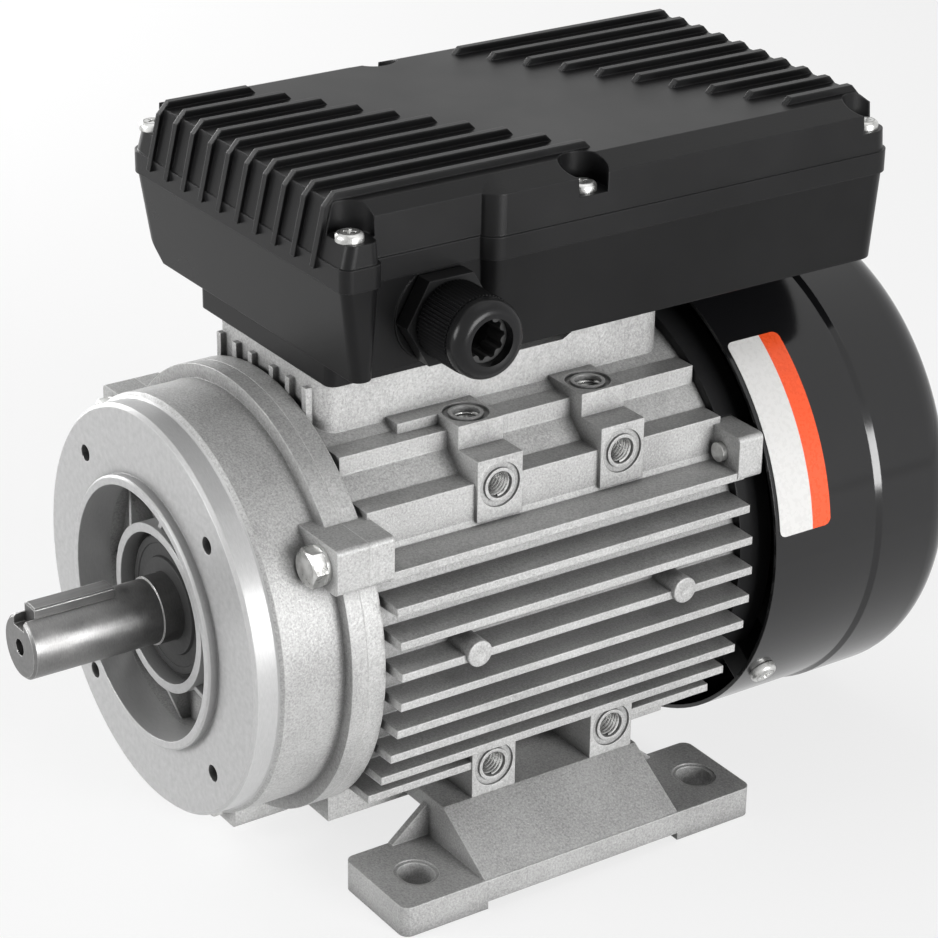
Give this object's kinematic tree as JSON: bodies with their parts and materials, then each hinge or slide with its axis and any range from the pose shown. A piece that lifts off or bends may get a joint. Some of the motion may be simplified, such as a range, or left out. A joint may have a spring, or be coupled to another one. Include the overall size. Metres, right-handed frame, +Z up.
{
  "type": "single-phase electric motor",
  "caption": "Foot and face mounted single-phase induction motor with finned aluminium frame, keyed shaft, fan cowl and a ribbed terminal box with gland on top",
  "frame": {"origin": "centre of the four foot holes, on the plane the feet stand on", "axes": "+Z up, -Y out along the drive shaft, +X towards the cable gland"},
  "size_m": [0.1572, 0.278, 0.212],
  "materials": {
    "cast_frame": "die-cast, shot-blasted and sprayed with silver paint",
    "cast_shields": "die-cast, silver paint, machined face",
    "rear_shield_paint": "die-cast, sprayed satin black",
    "cast_feet": "die-cast, shot-blasted and sprayed with silver paint",
    "zinc_fasteners": "zinc-plated steel",
    "laminations": "stacked electrical steel sheet",
    "windings": "varnished enamelled copper wire, tied",
    "shaft_steel": "ground steel",
    "key_steel": "drawn steel",
    "rotor_cage": "cast aluminium cage",
    "bearing_steel": "hardened bearing steel",
    "black_rubber": "oil-proof rubber",
    "fan_plastic": "moulded nylon",
    "cowl_paint": "pressed sheet steel, glossy black paint",
    "label_film": "blank sticker, white field and red-orange band",
    "box_plastic": "injection moulded, satin black",
    "lid_plastic": "injection moulded, fine grained satin black",
    "start_capacitor_case": "black plastic case",
    "run_capacitor_case": "white plastic case",
    "clip_steel": "zinc-plated spring steel",
    "board_plastic": "brown moulded laminate",
    "brass_studs": "brass",
    "gland_plastic": "moulded nylon, black",
    "lead_covers": "woven sleeving over insulated leads",
    "governor_plastic": "moulded nylon, natural",
    "contact_bronze": "phosphor bronze spring"
  },
  "bodies": {
    "frame": {"stator_frame": "cast_frame", "drive_end_shield": "cast_shields", "rear_end_shield": "rear_shield_paint", "drive_shield_bolts": "zinc_fasteners", "rear_shield_bolts": "zinc_fasteners", "right_foot": "cast_feet", "left_foot": "cast_feet", "foot_bolts": "zinc_fasteners", "stator_core": "laminations", "windings": "windings", "drive_bearing_outer_ring": "bearing_steel", "drive_bearing_seals": "black_rubber", "rear_bearing_outer_ring": "bearing_steel", "rear_bearing_seals": "black_rubber", "wave_washer": "bearing_steel", "fan_cowl": "cowl_paint", "cowl_screws": "zinc_fasteners", "blank_label": "label_film", "terminal_box_base": "box_plastic", "terminal_box_lid": "lid_plastic", "lid_screws": "zinc_fasteners", "box_screws": "zinc_fasteners", "start_capacitor": "start_capacitor_case", "run_capacitor": "run_capacitor_case", "capacitor_clips": "clip_steel", "terminal_board": "board_plastic", "terminal_studs": "brass_studs", "terminal_links": "brass_studs", "earth_screw": "brass_studs", "gland_body": "gland_plastic", "gland_washer": "black_rubber", "gland_locknut": "gland_plastic", "gland_nut": "gland_plastic", "gland_seal": "black_rubber", "motor_leads": "lead_covers", "switch_plate": "board_plastic", "switch_contact": "contact_bronze"},
    "rotor": {"shaft": "shaft_steel", "shaft_key": "key_steel", "rotor_core": "laminations", "rotor_end_rings": "rotor_cage", "drive_bearing_inner_ring": "bearing_steel", "rear_bearing_inner_ring": "bearing_steel", "shaft_seal": "black_rubber", "fan": "fan_plastic", "fan_clip": "bearing_steel", "governor_hub": "clip_steel"},
    "drive_balls": {"drive_bearing_balls": "bearing_steel"},
    "rear_balls": {"rear_bearing_balls": "bearing_steel"},
    "collar": {"governor_collar": "governor_plastic"},
    "right_weight": {"governor_weight_right": "clip_steel"},
    "left_weight": {"governor_weight_left": "clip_steel"}
  },
  "joints": [
    {"name": "rotor_spin", "type": "hinge", "parent": "frame", "child": "rotor", "pos_m": [0, 0, 0.08], "axis": [0, 1, 0], "continuous": true},
    {"name": "drive_balls_roll", "type": "hinge", "parent": "frame", "child": "drive_balls", "pos_m": [0, 0, 0.08], "axis": [0, 1, 0], "continuous": true},
    {"name": "rear_balls_roll", "type": "hinge", "parent": "frame", "child": "rear_balls", "pos_m": [0, 0, 0.08], "axis": [0, 1, 0], "continuous": true},
    {"name": "governor_slide", "type": "slide", "parent": "rotor", "child": "collar", "axis": [0, -1, 0], "range_m": [0, 0.0028]},
    {"name": "right_weight_swing", "type": "hinge", "parent": "rotor", "child": "right_weight", "pos_m": [0.027, 0.0555, 0.08], "axis": [0, 0, 1], "range_deg": [0, 16.3]},
    {"name": "left_weight_swing", "type": "hinge", "parent": "rotor", "child": "left_weight", "pos_m": [-0.027, 0.0555, 0.08], "axis": [0, 0, -1], "range_deg": [0, 16.3]}
  ],
  "couplings": [
    {"joint": "drive_balls_roll", "follows": "rotor_spin", "ratio": 0.3815},
    {"joint": "rear_balls_roll", "follows": "rotor_spin", "ratio": 0.3815},
    {"joint": "right_weight_swing", "follows": "governor_slide", "rad_per_m": 101.35},
    {"joint": "left_weight_swing", "follows": "governor_slide", "rad_per_m": 101.35}
  ]
}
